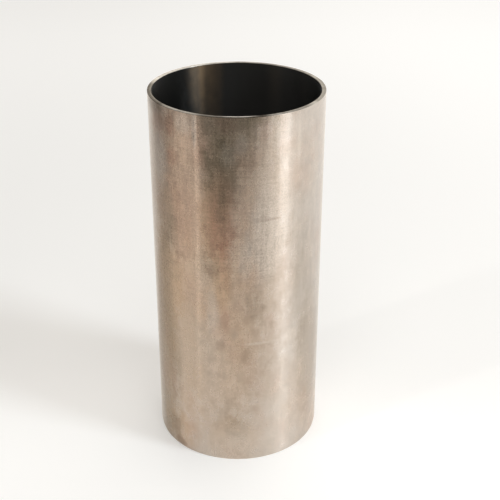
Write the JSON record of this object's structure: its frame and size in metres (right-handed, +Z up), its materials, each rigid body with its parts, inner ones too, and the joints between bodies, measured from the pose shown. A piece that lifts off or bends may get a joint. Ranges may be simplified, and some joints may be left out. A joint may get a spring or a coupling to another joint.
{
  "type": "cylinder liner",
  "caption": "Plain thin-wall dry cylinder liner: a smooth ground sleeve, open at both ends, with a press-in taper round its foot.",
  "frame": {"origin": "centre of the lower end face, at the foot of the bore", "axes": "+Z up the bore's axis to the top (cylinder head) end; X and Y are any two square directions across the bore"},
  "size_m": [0.1032, 0.1032, 0.2286],
  "materials": {
    "ground_iron": "ground outside and turned bore, satin, with light handling stains"
  },
  "bodies": {
    "root": {"cylinder_liner": "ground_iron"}
  },
  "joints": []
}
